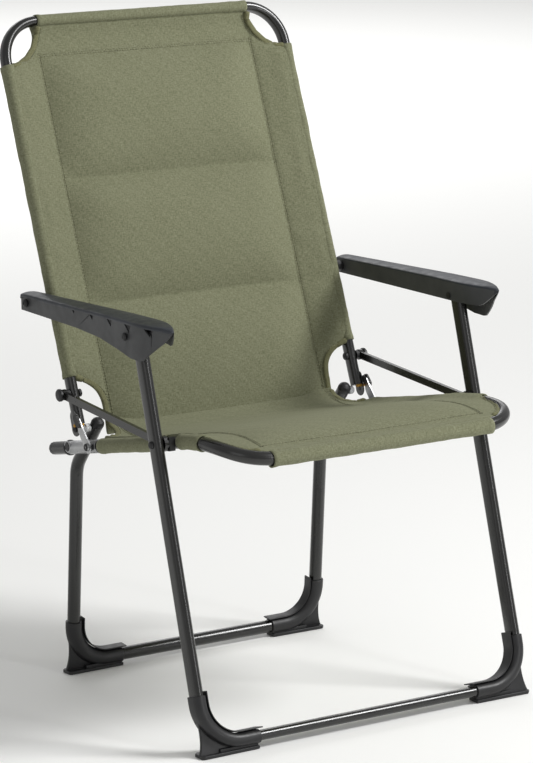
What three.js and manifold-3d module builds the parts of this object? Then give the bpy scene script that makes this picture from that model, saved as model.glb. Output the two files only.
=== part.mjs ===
// Folding camp chair: a back frame, two armrests, a front leg frame, two side rods, a seat frame,
// a rear leg frame and two latches, held together by pivot bolts. Millimetres, +Z up, front towards -Y.
// Points are (y, z) pairs in the side view, with y counted from the front feet and z from the floor.

import * as THREE from 'three';
import { mergeVertices } from 'three/addons/utils/BufferGeometryUtils.js';
import Module from 'manifold-3d';

const wasm = await Module();
wasm.setup();

// Driving dimensions
const gap = 0.3;               // play left between pieces that touch
const originY = 280.29;        // middle of the chair from front to back
const backX = 234.5;           // centre line of each back tube
const backFoot = 236.6;        // y where the back tube's line meets the floor
const backSlope = 0.379;       // y per z of the back tube
const backTop = 933;           // z of the top bar's centre line
const backEnd = 386;           // z where the full section of the back tube ends
const backCorner = 58;
const frontX = 261.5;
const frontFoot = 9.7;
const frontSlope = 0.2808;
const frontTop = 556;
const rearX = 208.7;
const rearFoot = 467.5;
const rearSlope = -0.0888;
const barHeight = 15;          // centre of both floor bars
const legCorner = 56;
const seatX = 228.7;
const seatR = 9.5;
const boltR = 3;
const holeR = 3.3;

// Pivots, as (y, z)
const armRear = [446, 555];
const armFront = [160, 551];
const rodRear = [397, 428];
const seatFront = [124, 407];  // shared by the rod, the seat and the front leg
const rearPivot = [382, 380];
const seatRear = [412, 349];
const latchPivot = [345, 361];
const latchPinAt = [376.5, 386.5];

const backSection = [14, 20];  // across the frame's plane, then along its depth
const frontSection = [14, 25];
const rearR = 9.5;
const shoeWall = 2.5;
const soleWidth = 24;
const soleHeight = 7;
const webWidth = 7;

// Finishes
const finish = (name, color, roughness, metalness) =>
  Object.assign(new THREE.MeshStandardMaterial({ color, roughness, metalness }), { name });
const paint = finish('anthracite_paint', 0x2e2e2d, 0.45, 0.3);
const plastic = finish('black_plastic', 0x242425, 0.55, 0);
const armPlastic = finish('grey_plastic', 0x4c4d50, 0.6, 0);
const oliveFabric = finish('olive_fabric', 0x7c7d63, 0.95, 0);
const steel = finish('zinc_steel', 0xa5a7a8, 0.35, 0.9);
const brass = finish('brass', 0xb08d4a, 0.35, 0.9);

// Solids
function welded(geometry) {
  const bare = geometry.clone();
  bare.deleteAttribute('normal');
  bare.deleteAttribute('uv');
  return mergeVertices(bare, 1e-4);
}

function toManifold(geometry) {
  const merged = welded(geometry);
  const mesh = new wasm.Mesh({
    numProp: 3,
    vertProperties: new Float32Array(merged.attributes.position.array),
    triVerts: new Uint32Array(merged.index.array),
  });
  return new wasm.Manifold(mesh);
}

function toGeometry(solid) {
  const mesh = solid.getMesh();
  const geometry = new THREE.BufferGeometry();
  geometry.setAttribute('position', new THREE.BufferAttribute(new Float32Array(mesh.vertProperties), 3));
  geometry.setIndex(new THREE.BufferAttribute(new Uint32Array(mesh.triVerts), 1));
  geometry.computeVertexNormals();
  return geometry;
}

const combine = (how) => (first, ...others) =>
  toGeometry(others.reduce((solid, other) => solid[how](toManifold(other)), toManifold(first)));
const cut = combine('subtract');
const join = combine('add');
const overlap = combine('intersect');

function mirrored(geometry) {
  const copy = welded(geometry).applyMatrix4(new THREE.Matrix4().makeScale(-1, 1, 1));
  const index = copy.index.array;
  for (let i = 0; i < index.length; i += 3) [index[i], index[i + 1]] = [index[i + 1], index[i]];
  copy.computeVertexNormals();
  return copy;
}

// A tube's centre line: straight runs are one step, and each bend has its own steps.
class Centreline extends THREE.Curve {
  constructor(stations) {
    super();
    this.stations = stations;
  }
  getPoint(u, target = new THREE.Vector3()) {
    const place = u * (this.stations.length - 1);
    const i = Math.min(Math.floor(place), this.stations.length - 2);
    return target.lerpVectors(this.stations[i], this.stations[i + 1], place - i);
  }
  getPointAt(u, target) {
    return this.getPoint(u, target);
  }
  getTangentAt(u, target = new THREE.Vector3()) {
    const i = Math.round(u * (this.stations.length - 1));
    const before = this.stations[Math.max(i - 1, 0)];
    const after = this.stations[Math.min(i + 1, this.stations.length - 1)];
    return target.subVectors(after, before).normalize();
  }
}

function roundedCorner(before, corner, after, radius, steps) {
  const inward = before.clone().sub(corner).normalize();
  const outward = after.clone().sub(corner).normalize();
  const half = inward.angleTo(outward) / 2;
  const setback = radius / Math.tan(half);
  const centre = corner.clone().add(inward.clone().add(outward).normalize().multiplyScalar(radius / Math.sin(half)));
  const start = corner.clone().addScaledVector(inward, setback).sub(centre);
  const axis = inward.clone().negate().cross(outward).normalize();
  const sweep = Math.PI - 2 * half;
  return Array.from({ length: steps + 1 }, (_, i) =>
    start.clone().applyAxisAngle(axis, (sweep * i) / steps).add(centre));
}

// Straight runs through the given points, with each middle point rounded.
function bentLine(points, radii, steps = 8) {
  const stations = [points[0]];
  for (let i = 1; i < points.length - 1; i += 1) {
    stations.push(...roundedCorner(points[i - 1], points[i], points[i + 1], radii[i - 1], steps));
  }
  stations.push(points[points.length - 1]);
  return new Centreline(stations);
}

// A flat-oval outline with round ends, or a circle where width and depth are equal.
function flatOval(width, depth, arcSteps = 6) {
  const r = Math.min(width, depth) / 2;
  const straight = Math.abs(depth - width) / 2;
  const tall = depth > width;
  const points = [];
  for (let side = 0; side < 2; side += 1) {
    for (let i = 0; i <= arcSteps; i += 1) {
      const angle = (tall ? 0 : -Math.PI / 2) + side * Math.PI + (Math.PI * i) / arcSteps;
      const shift = side === 0 ? straight : -straight;
      if (straight === 0 && i === arcSteps) continue;
      points.push(new THREE.Vector2(
        r * Math.cos(angle) + (tall ? 0 : shift),
        r * Math.sin(angle) + (tall ? shift : 0),
      ));
    }
  }
  return new THREE.Shape(points);
}

const tubeAlong = (line, section) =>
  new THREE.ExtrudeGeometry(section, { extrudePath: line, steps: line.stations.length - 1, curveSegments: 1 });

const at = (x, [y, z]) => new THREE.Vector3(x, y, z);

function rod(radius, x0, x1, [y, z], sides = 12) {
  return new THREE.CylinderGeometry(radius, radius, x1 - x0, sides)
    .rotateZ(-Math.PI / 2)
    .translate((x0 + x1) / 2, y, z);
}

// A turned piece on the X axis: profile is (radius, x) from one end to the other.
function turned(profile, [y, z], sides = 12) {
  const outline = [[0, profile[0][1]], ...profile, [0, profile[profile.length - 1][1]]];
  return new THREE.LatheGeometry(outline.map(([r, x]) => new THREE.Vector2(r, x)), sides)
    .rotateZ(-Math.PI / 2)
    .translate(0, y, z);
}

// A flat plate in the side view, from x0 to x1.
function plate(outline, x0, x1) {
  const toSide = new THREE.Matrix4().makeBasis(
    new THREE.Vector3(0, 1, 0), new THREE.Vector3(0, 0, 1), new THREE.Vector3(1, 0, 0));
  return new THREE.ExtrudeGeometry(outline, { depth: x1 - x0, bevelEnabled: false, curveSegments: 10 })
    .applyMatrix4(toSide)
    .translate(x0, 0, 0);
}

const polygon = (points) => new THREE.Shape(points.map(([y, z]) => new THREE.Vector2(y, z)));

// A link with round ends and an optional hole at each end.
function linkOutline(from, to, fromR, toR, barR, holes) {
  const length = Math.hypot(to[0] - from[0], to[1] - from[1]);
  const turn = Math.atan2(to[1] - from[1], to[0] - from[0]);
  const fromCorner = Math.asin(barR / fromR);
  const toCorner = Math.asin(barR / toR);
  const shape = new THREE.Shape();
  shape.absarc(0, 0, fromR, fromCorner, 2 * Math.PI - fromCorner, false);
  shape.absarc(length, 0, toR, Math.PI + toCorner, 3 * Math.PI - toCorner, false);
  const placed = shape.getPoints(8).map((p) =>
    p.rotateAround(new THREE.Vector2(), turn).add(new THREE.Vector2(...from)));
  const outline = new THREE.Shape(placed);
  holes.forEach(([place, r]) => {
    const hole = new THREE.Path();
    hole.absarc(place[0], place[1], r, 0, 2 * Math.PI, true);
    outline.holes.push(hole);
  });
  return outline;
}

const chair = new THREE.Group();
chair.position.y = -originY;

function add(name, geometry, material) {
  const mesh = new THREE.Mesh(geometry, material);
  mesh.name = name;
  chair.add(mesh);
}

// Adds a right-hand piece and its mirror image.
function addPair(name, geometry, material) {
  add(`${name}_left`, mirrored(geometry), material);
  add(`${name}_right`, geometry, material);
}

const bothSides = (cutter) => [cutter, mirrored(cutter)];
const onBack = (x, z) => at(x, [backFoot + backSlope * z, z]);
const onFront = (x, z) => at(x, [frontFoot + frontSlope * z, z]);
const onRear = (x, z) => at(x, [rearFoot + rearSlope * z, z]);

// Back frame
const backLine = bentLine(
  [onBack(-backX, backEnd), onBack(-backX, backTop), onBack(backX, backTop), onBack(backX, backEnd)],
  [backCorner, backCorner]);
const backEar = plate(linkOutline(rearPivot, [backFoot + backSlope * 396 + 0.2, 396], 10.5, 10.5, 10.4, []), 239.7, 241.3);
add('back_frame_tube', cut(
  join(tubeAlong(backLine, flatOval(...backSection)), ...bothSides(backEar)),
  ...[armRear, rodRear, rearPivot].flatMap((place) => bothSides(rod(holeR, 220, 250, place))),
  ...bothSides(rod(2.5 + gap, 231, 250, latchPinAt)),
), paint);

addPair('armrest_rear_bolt', turned([
  [4.5, 223.5], [5.5, 224.5], [5.5, 227.2], [boltR, 227.2], [boltR, 279.6], [6, 279.6], [6, 281.5], [4, 283],
], armRear), plastic);
addPair('armrest_spacer', cut(
  rod(8, 241.5 + gap, 250.8, armRear), rod(holeR, 235, 260, armRear)), plastic);
addPair('rod_rear_bolt', turned([
  [4.5, 223.5], [5.5, 224.5], [5.5, 227.2], [boltR, 227.2], [boltR, 254.2],
], rodRear), plastic);
addPair('rod_spacer', cut(
  rod(7, 241.5 + gap, 247.5 - gap, rodRear), rod(holeR, 235, 260, rodRear)), plastic);
addPair('rod_knob', turned([
  [8, 254.5], [9, 255.3], [9, 258.2], [7.6, 259.6], [4, 260.3],
], rodRear, 20), plastic);
addPair('latch_pin', turned([[2.5, 231.3], [2.5, 246], [1.8, 246.8]], latchPinAt), brass);
addPair('back_lower_rivet', turned([[boltR, 239.4], [boltR, 241.6], [4.6, 241.6], [4.2, 243]], rearPivot), plastic);

// Back sling: a panel between the tubes, its corners cut away for the bends and the folding joints
const backUp = Math.hypot(1, backSlope);
const backLean = Math.atan(backSlope);
const slingHalf = 223;            // clear of the armrest bolts
const slingOutline = new THREE.Shape();
slingOutline.moveTo(-185, 404 * backUp);
slingOutline.lineTo(185, 404 * backUp);
slingOutline.quadraticCurveTo(192, 446 * backUp, slingHalf, 452 * backUp);
slingOutline.lineTo(slingHalf, 872 * backUp);
slingOutline.quadraticCurveTo(188, 880 * backUp, 176, 924 * backUp);
slingOutline.lineTo(-176, 924 * backUp);
slingOutline.quadraticCurveTo(-188, 880 * backUp, -slingHalf, 872 * backUp);
slingOutline.lineTo(-slingHalf, 452 * backUp);
slingOutline.quadraticCurveTo(-192, 446 * backUp, -185, 404 * backUp);
const slingThickness = 10;
add('back_sling', new THREE.ExtrudeGeometry(slingOutline, { depth: slingThickness, bevelEnabled: false, curveSegments: 6 })
  .translate(0, 0, -slingThickness / 2)
  .rotateX(Math.PI / 2 - backLean)
  .translate(0, backFoot, 0), oliveFabric);

// Armrests: an upside-down channel, wider at the front, with a beak that overhangs the front leg
const armOutline = polygon([
  [463, 543], [300, 541.5], [235, 538], [180, 529], [150, 523], [122, 522], [84, 552], [70, 563], [72, 570],
  [86, 573.5], [200, 573], [458, 567.5], [465, 562],
]);
const armHollow = polygon([
  [457.5, 480], [457.5, 563.6], [200, 570.3], [92, 571], [88, 563], [126, 527], [126, 480],
]);
const beakMiddle = 264;
const plan = (inRear, inFront, outRear, outFront, rear, front) => {
  const shape = polygon([
    [inRear, rear], [inFront, 150], [inFront + 1.5, 118], [inFront + 6, 96], [beakMiddle - 4, front],
    [beakMiddle + 4, front], [outFront - 6, 96], [outFront - 1.5, 118], [outFront, 150], [outRear, rear],
  ]);
  return new THREE.ExtrudeGeometry(shape, { depth: 200, bevelEnabled: false }).translate(0, 0, 420);
};
const armBody = overlap(plate(armOutline, 240, 290), plan(252, 243.5, 279, 285, 470, 60));
const armInside = overlap(plate(armHollow, 240, 290), plan(254.5, 246, 276.5, 282.5, 468, 62));
const innerSkirtEnd = new THREE.BoxGeometry(20, 440, 40).translate(246, 260, 524.2);
addPair('armrest', cut(
  armBody, armInside, innerSkirtEnd,
  rod(holeR, 235, 290, armRear), rod(holeR, 235, 290, armFront),
), armPlastic);

// Front legs: one tube bent into a U, with a floor bar and a moulded shoe on each corner
const frontLine = bentLine(
  [onFront(-frontX, frontTop), onFront(-frontX, barHeight), onFront(frontX, barHeight), onFront(frontX, frontTop)],
  [legCorner, legCorner], 6);
add('front_leg_tube', cut(
  tubeAlong(frontLine, flatOval(...frontSection)),
  ...[armFront, seatFront].flatMap((place) => bothSides(rod(holeR, 245, 280, place))),
), paint);

// A moulded shoe: a sleeve round the bend, a flat sole, and a web that fills the outer corner between them.
function shoe(onLeg, x, section, barEnd, sleeveTop, slope) {
  const corner = [onLeg(x, sleeveTop), onLeg(x, barHeight), onLeg(barEnd, barHeight)];
  const sleeve = tubeAlong(bentLine(corner, [legCorner], 6),
    flatOval(section[0] + 2 * shoeWall, section[1] + 2 * shoeWall));
  const outer = x + section[0] / 2 + shoeWall;
  const lineY = onLeg(x, 0).y;
  const sole = new THREE.BoxGeometry(outer - barEnd, soleWidth, soleHeight)
    .translate((outer + barEnd) / 2, onLeg(x, barHeight).y, soleHeight / 2);
  const webShape = new THREE.Shape();
  webShape.moveTo(outer - 60, 2);
  webShape.lineTo(outer - 0.2, 2);
  webShape.quadraticCurveTo(outer - 9, 24, outer - 1.5, sleeveTop - 12);
  webShape.lineTo(outer - 12, sleeveTop - 12);
  webShape.lineTo(outer - 30, 22);
  webShape.lineTo(outer - 60, 12);
  const web = new THREE.ExtrudeGeometry(webShape, { depth: webWidth, bevelEnabled: false, curveSegments: 6 })
    .translate(0, 0, -webWidth / 2)
    .rotateX(Math.PI / 2)
    .applyMatrix4(new THREE.Matrix4().makeShear(0, 0, 0, 0, 0, slope))
    .translate(0, lineY, 0);
  const long = [onLeg(x, sleeveTop + 20), onLeg(x, barHeight), onLeg(barEnd - 20, barHeight)];
  const bore = tubeAlong(bentLine(long, [legCorner], 6), flatOval(section[0] + 2 * gap, section[1] + 2 * gap, 8));
  return cut(join(sleeve, sole, web), bore);
}
addPair('front_foot', shoe(onFront, frontX, frontSection, frontX + 9.5 - 92, 80, frontSlope), plastic);
const frontUp = onFront(0, 1).sub(onFront(0, 0)).normalize();
const frontPlug = new Centreline([
  onFront(frontX, frontTop).addScaledVector(frontUp, gap), onFront(frontX, frontTop).addScaledVector(frontUp, 2.6)]);
addPair('front_leg_plug', tubeAlong(frontPlug, flatOval(12, 19)), plastic);
addPair('armrest_front_bolt', turned([
  [4.6, 242.3], [4.6, 243.2], [boltR, 243.2], [boltR, 285.4], [5.6, 285.4], [5.6, 287], [4, 288.4],
], armFront), plastic);
addPair('armrest_bush', cut(
  rod(7, 247, 254.5 - gap, armFront), rod(holeR, 240, 260, armFront)), plastic);
addPair('seat_bolt', turned([
  [4.5, 214], [5.5, 215], [5.5, 218.7], [boltR, 218.7], [boltR, 268.8], [5.4, 268.8], [4.8, 270.6], [2.6, 271.8],
], seatFront), plastic);

// Side rods: flat links from the back tube to the seat bolt, with an open eye at the front
addPair('side_rod', plate(
  linkOutline(rodRear, seatFront, 7.8, 11, 5.2, [[rodRear, holeR], [seatFront, 7.6]]), 247.5, 253.5), paint);

// Seat frame: a U with its open end at the back, dropping a little at the front bar
const seatSide = [
  [461, 337], [190, 391.7], [150, 400.6], [124, 406.6], [92, 412.3], [60, 416], [34, 416.6],
];
const seatCorner = [[-226, 12, 415.4], [-217, -8, 411.6], [-201, -22, 407.6], [-180, -29, 405], [-160, -30, 404]];
const seatHalfLine = [
  ...seatSide.map((place) => at(-seatX, place)),
  ...seatCorner.map((p) => new THREE.Vector3(...p)),
];
const seatLine = new Centreline([
  ...seatHalfLine,
  ...seatHalfLine.map((p) => new THREE.Vector3(-p.x, p.y, p.z)).reverse(),
]);
add('seat_frame_tube', cut(
  tubeAlong(seatLine, flatOval(2 * seatR, 2 * seatR)),
  ...[seatFront, seatRear, latchPivot].flatMap((place) => bothSides(rod(holeR, 210, 250, place))),
), paint);
const railBack = at(0, seatSide[0]).sub(at(0, seatSide[1])).normalize();
const railEnd = (x, along) => at(x, seatSide[0]).addScaledVector(railBack, along);
addPair('seat_tube_cap', tubeAlong(
  new Centreline([railEnd(seatX, gap), railEnd(seatX, 4), railEnd(seatX, 6.5)]), flatOval(18.6, 18.6)), plastic);
addPair('seat_pivot_block', cut(
  plate(polygon([[112, 398], [139, 394], [141, 411], [114, 417]]), seatX + seatR + gap, 247.5 - gap),
  rod(holeR, 230, 250, seatFront)), plastic);
addPair('rear_leg_bolt', turned([
  [4.5, 195], [5.5, 196], [5.5, 198.9], [boltR, 198.9], [boltR, 238.5], [7, 238.5], [7, 238.9], [5, 239.3],
], seatRear), steel);
addPair('latch_bolt', turned([
  [4.5, 215], [5, 216], [5, 218.9], [2.5, 218.9], [2.5, 244.1], [6, 244.1], [5.4, 246], [3, 246.8],
], latchPivot), steel);
addPair('latch_spacer', cut(
  rod(6.5, seatX + seatR + gap, 241.5, latchPivot), rod(2.8, 230, 250, latchPivot)), plastic);

// Seat sling: a thin panel between the rails
const seatProfile = (rise) => [[374, 373], [325, 366.5], [190, 391.7], [124, 406.6], [60, 416], [16, 415], [-10, 411], [-17, 409]]
  .map(([y, z]) => [y, z + rise]);
const seatPanel = plate(polygon([...seatProfile(-4), ...seatProfile(5).reverse()]), -220, 220);
const seatOutline = polygon([
  [-180, 380], [-183, 340], [-213, 325], [-213, 40], [-205, 8], [-188, -8], [-165, -17.5],
  [165, -17.5], [188, -8], [205, 8], [213, 40], [213, 325], [183, 340], [180, 380],
].reverse());
const seatPlan = new THREE.ExtrudeGeometry(seatOutline, { depth: 200, bevelEnabled: false }).translate(0, 0, 300);
add('seat_sling', overlap(seatPanel, seatPlan), oliveFabric);

// Rear legs: one round tube bent into a U, with its tops bent forward to the pivots
const rearBend = [rearFoot + rearSlope * 313, 313];
const rearTip = [378, 383.5];
const rearLine = bentLine([
  at(-rearX, rearTip), at(-rearX, rearBend), onRear(-rearX, barHeight),
  onRear(rearX, barHeight), at(rearX, rearBend), at(rearX, rearTip),
], [45, legCorner, legCorner, 45], 6);
add('rear_leg_tube', cut(
  tubeAlong(rearLine, flatOval(2 * rearR, 2 * rearR, 8)),
  ...bothSides(rod(holeR, 190, 230, seatRear)),
  ...bothSides(rod(holeR, 208, 230, rearPivot)),
), paint);
addPair('rear_foot', shoe(onRear, rearX, [2 * rearR, 2 * rearR], rearX + 5 - 92 + 7.5, 78, rearSlope), plastic);
const tipForward = at(0, rearTip).sub(at(0, rearBend)).normalize();
const tipPoint = (along) => at(rearX, rearTip).addScaledVector(tipForward, along);
const ballCap = new THREE.LatheGeometry(
  [[0, 0], [9.6, 0], [9.8, 2], [9, 5.5], [6.6, 8.6], [3.4, 10.2], [0, 10.6]].map(([r, h]) => new THREE.Vector2(r, h)), 16)
  .applyQuaternion(new THREE.Quaternion().setFromUnitVectors(new THREE.Vector3(0, 1, 0), tipForward))
  .translate(...tipPoint(gap).toArray());
addPair('rear_leg_cap', ballCap, plastic);
addPair('rear_leg_bush', turned([[boltR, 209], [boltR, 218.9], [6, 218.9], [6, 226], [5, 227.2]], rearPivot), steel);

// Latches: a plate on each seat rail that hooks over the pin on the back tube
const latchOutline = polygon([
  [337, 360], [339, 354.5], [345, 352.5], [351, 354.5], [357, 363], [364, 372], [369, 378], [370.5, 383.5],
  [372.8, 388.6], [376.4, 390.4], [380, 389.8], [382.5, 392.5], [381.5, 398], [375, 401.5], [367.5, 398],
  [358, 386], [346, 373], [338.5, 366.5],
]);
addPair('latch_plate', cut(plate(latchOutline, 241.8, 243.8), rod(2.8, 230, 250, latchPivot)), steel);
addPair('latch_tab', plate(linkOutline([366, 390.5], [373, 397.5], 5.5, 5.5, 5.4, []), 243.8 + gap, 246.9), plastic);

export default chair;
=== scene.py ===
# Folding camp chair: painted steel tubes, moulded armrests and shoes, olive slings and zinc hinge parts.
# Sizes are in millimetres; x runs across the chair, y back from the front feet, z up from the floor.
import math

import bmesh
import bpy
from mathutils import Matrix, Vector, noise


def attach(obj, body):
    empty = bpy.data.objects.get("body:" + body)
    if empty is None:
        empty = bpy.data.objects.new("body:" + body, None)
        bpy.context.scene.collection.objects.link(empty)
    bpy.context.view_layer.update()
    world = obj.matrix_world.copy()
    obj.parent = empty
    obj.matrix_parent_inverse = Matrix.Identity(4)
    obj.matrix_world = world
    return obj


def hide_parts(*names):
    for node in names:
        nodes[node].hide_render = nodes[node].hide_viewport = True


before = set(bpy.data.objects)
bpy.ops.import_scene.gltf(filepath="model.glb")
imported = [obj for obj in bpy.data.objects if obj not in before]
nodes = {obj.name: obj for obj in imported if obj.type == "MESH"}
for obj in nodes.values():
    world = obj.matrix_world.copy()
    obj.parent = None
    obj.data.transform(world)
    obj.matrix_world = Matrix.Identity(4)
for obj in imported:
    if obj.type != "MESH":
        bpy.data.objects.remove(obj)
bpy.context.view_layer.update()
print("frame loaded")

# Pivots as (y, z), shared by everything that turns
chair = {
    "middleY": 280.29,
    "armRear": (446, 555),
    "armFront": (160, 551),
    "rodRear": (397, 428),
    "seatFront": (124, 407),
    "rearPivot": (382, 380),
    "latchPivot": (345, 361),
    "rearLegPivot": (412, 349),
}


def toRow(point):
    return Vector((point[0], point[1] - chair["middleY"], point[2])) / 1000


def clamp(value, low=0.0, high=1.0):
    return max(low, min(high, value))


def smooth(value):
    value = clamp(value)
    return value * value * (3 - 2 * value)


def between(value, stops):  # value looked up on straight lines through (place, result) stops
    for (x0, y0), (x1, y1) in zip(stops, stops[1:]):
        if value <= x1:
            return y0 + (y1 - y0) * clamp((value - x0) / (x1 - x0))
    return stops[-1][1]


def ripple(x, y, z, size):  # smooth noise, about -1 to 1, with bumps about size apart
    return noise.noise(Vector((x, y, z)) / size)


# Materials

def linear(hexColour):
    parts = [int(hexColour[i:i + 2], 16) / 255 for i in (1, 3, 5)]
    return [p / 12.92 if p <= 0.04045 else ((p + 0.055) / 1.055) ** 2.4 for p in parts] + [1]


def addNode(tree, kind, inputs=None, **settings):
    made = tree.nodes.new(kind)
    for key, value in settings.items():
        setattr(made, key, value)
    for key, value in (inputs or {}).items():
        if isinstance(value, bpy.types.NodeSocket):
            tree.links.new(value, made.inputs[key])
        else:
            made.inputs[key].default_value = value
    return made


def startMaterial(name, settings):
    material = bpy.data.materials.new(name)
    material.use_nodes = True
    tree = material.node_tree
    shader = tree.nodes["Principled BSDF"]
    for key, value in settings.items():
        shader.inputs[key].default_value = value
    return material, tree, shader


def mixed(tree, factor, low, high):
    return addNode(tree, "ShaderNodeMix", {0: factor, 6: low, 7: high}, data_type="RGBA").outputs[2]


def ranged(tree, value, low, high, fromLow=0.0, fromHigh=1.0):
    return addNode(tree, "ShaderNodeMapRange", {
        "Value": value, "From Min": fromLow, "From Max": fromHigh, "To Min": low, "To Max": high,
    }).outputs[0]


def perMetre(sizeInMm):  # noise scale that gives features of that size
    return 1000 / sizeInMm


# Hard finishes share one recipe: a broad drift of tone, a fine relief and smudges in the roughness.
hardFinishes = {
    # powder coat on drawn tube: dark, even, half gloss with a faint orange peel
    "anthracitePowderCoat": {"dark": "#111110", "light": "#191917", "rough": (0.2, 0.28), "grain": 1.6,
                             "relief": 0.012, "metal": 0.0, "coat": 0.35},
    # injection-moulded polypropylene with a fine spark-eroded texture
    "blackPolypropylene": {"dark": "#121213", "light": "#1c1c1e", "rough": (0.38, 0.52), "grain": 0.9,
                           "relief": 0.1, "metal": 0.0, "coat": 0.0},
    # armrest skirt: warm grey moulded plastic
    "greyPolypropylene": {"dark": "#3a3b3c", "light": "#474849", "rough": (0.42, 0.56), "grain": 1.0,
                          "relief": 0.12, "metal": 0.0, "coat": 0.0},
    # armrest top: cooler and smoother, polished a little by hands
    "slatePolypropylene": {"dark": "#23262c", "light": "#2e3239", "rough": (0.36, 0.52), "grain": 1.1,
                           "relief": 0.1, "metal": 0.0, "coat": 0.0},
    # zinc plating: bright and slightly cloudy
    "zincPlatedSteel": {"dark": "#9c9d9e", "light": "#c9cacb", "rough": (0.24, 0.42), "grain": 2.2,
                        "relief": 0.05, "metal": 1.0, "coat": 0.0},
    # turned brass pin: warm and a little dulled
    "turnedBrass": {"dark": "#9a7434", "light": "#c79a4e", "rough": (0.25, 0.38), "grain": 1.5,
                    "relief": 0.04, "metal": 1.0, "coat": 0.0},
}


def hardFinish(name, look):
    material, tree, shader = startMaterial(name, {
        "Metallic": look["metal"], "Coat Weight": look["coat"], "Coat Roughness": 0.25})
    place = addNode(tree, "ShaderNodeTexCoord").outputs["Object"]
    broad = addNode(tree, "ShaderNodeTexNoise", {"Vector": place, "Scale": perMetre(45), "Detail": 4.0})
    smudge = addNode(tree, "ShaderNodeTexNoise", {"Vector": place, "Scale": perMetre(14), "Detail": 6.0})
    fine = addNode(tree, "ShaderNodeTexNoise", {"Vector": place, "Scale": perMetre(look["grain"])})
    tone = mixed(tree, ranged(tree, broad.outputs[0], 0, 1, 0.3, 0.7),
                 linear(look["dark"]), linear(look["light"]))
    tree.links.new(tone, shader.inputs["Base Color"])
    tree.links.new(ranged(tree, smudge.outputs[0], *look["rough"], 0.3, 0.7), shader.inputs["Roughness"])
    bump = addNode(tree, "ShaderNodeBump", {
        "Height": fine.outputs[0], "Strength": look["relief"], "Distance": 0.0004})
    tree.links.new(bump.outputs[0], shader.inputs["Normal"])
    return material


finishes = {name: hardFinish(name, look) for name, look in hardFinishes.items()}

# Olive polyester twill, woven from two tones of yarn: a matt cloth with a speckle and diagonal ribs.
# The real yarn is about 0.4 mm; both patterns are drawn coarser so that they show.
twill = {"dark": "#50523a", "middle": "#6e7057", "light": "#8d8e76", "yarn": 1.6, "rib": 2.4, "relief": 0.35}


def melangeTwill(name, look):
    material, tree, shader = startMaterial(name, {
        "Roughness": 0.92, "Sheen Weight": 0.22, "Sheen Roughness": 0.6, "Specular IOR Level": 0.2,
        "Sheen Tint": linear("#c9cab0")})
    cloth = addNode(tree, "ShaderNodeUVMap", uv_map="cloth").outputs[0]
    threads = []
    for stretch in ((1.0, 0.34, 1.0), (0.3, 1.0, 1.0)):
        place = addNode(tree, "ShaderNodeMapping", {"Vector": cloth, "Scale": stretch}).outputs[0]
        threads.append(addNode(tree, "ShaderNodeTexNoise", {
            "Vector": place, "Scale": perMetre(look["yarn"]), "Detail": 2.5}).outputs[0])
    speckle = addNode(tree, "ShaderNodeMath", {0: threads[0], 1: threads[1]}, operation="ADD").outputs[0]
    patches = addNode(tree, "ShaderNodeTexNoise", {"Vector": cloth, "Scale": perMetre(60), "Detail": 3.0})
    ribs = addNode(tree, "ShaderNodeTexWave", {
        "Vector": cloth, "Scale": perMetre(look["rib"]) / 20, "Distortion": 1.2, "Detail Scale": 3.0,
    }, wave_type="BANDS", bands_direction="DIAGONAL").outputs[1]
    yarns = mixed(tree, ranged(tree, speckle, 0, 1, 0.72, 1.28), linear(look["dark"]), linear(look["light"]))
    body = mixed(tree, 0.5, yarns, linear(look["middle"]))
    ribbed = mixed(tree, ranged(tree, ribs, 0.0, 0.07), body, linear(look["dark"]))
    faded = ranged(tree, patches.outputs[0], 0.0, 0.08, 0.35, 0.7)
    drift = mixed(tree, faded, ribbed, linear(look["light"]))
    tree.links.new(drift, shader.inputs["Base Color"])
    height = addNode(tree, "ShaderNodeMath", {0: speckle, 1: ribs}, operation="ADD").outputs[0]
    bump = addNode(tree, "ShaderNodeBump", {
        "Height": height, "Strength": look["relief"], "Distance": 0.0005})
    tree.links.new(bump.outputs[0], shader.inputs["Normal"])
    return material


finishes["oliveTwill"] = melangeTwill("oliveTwill", twill)
# The binding tape is the same yarn in a tighter weave, a shade yellower.
finishes["oliveBinding"] = melangeTwill("oliveBinding", dict(
    twill, dark="#4b4b2e", middle="#66664a", light="#828163", yarn=1.2, relief=0.25))

# Spun polyester thread: soft, its tone varying from stitch to stitch
thread = {"dark": "#595a3d", "light": "#8c8c6a"}


def threadFinish(look):
    material, tree, shader = startMaterial("oliveThread", {"Roughness": 0.7, "Sheen Weight": 0.3})
    place = addNode(tree, "ShaderNodeTexCoord").outputs["Object"]
    tone = addNode(tree, "ShaderNodeTexNoise", {"Vector": place, "Scale": perMetre(3)})
    colour = mixed(tree, ranged(tree, tone.outputs[0], 0, 1, 0.35, 0.65),
                   linear(look["dark"]), linear(look["light"]))
    tree.links.new(colour, shader.inputs["Base Color"])
    return material


finishes["oliveThread"] = threadFinish(thread)
print("materials made")


# Mesh building. A shell is its points in millimetres, its faces, a uv in metres for each face corner,
# and a material slot.

def makeShell(verts, faces, uvs=None, slot=0):
    if uvs is None:
        uvs = [[(verts[i][0] / 1000, verts[i][2] / 1000) for i in face] for face in faces]
    return {"verts": [Vector(v) for v in verts], "faces": faces, "uvs": uvs, "slot": slot}


def runningLengths(points):
    lengths = [0.0]
    for a, b in zip(points, points[1:]):
        lengths.append(lengths[-1] + (b - a).length / 1000)
    return lengths


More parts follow.
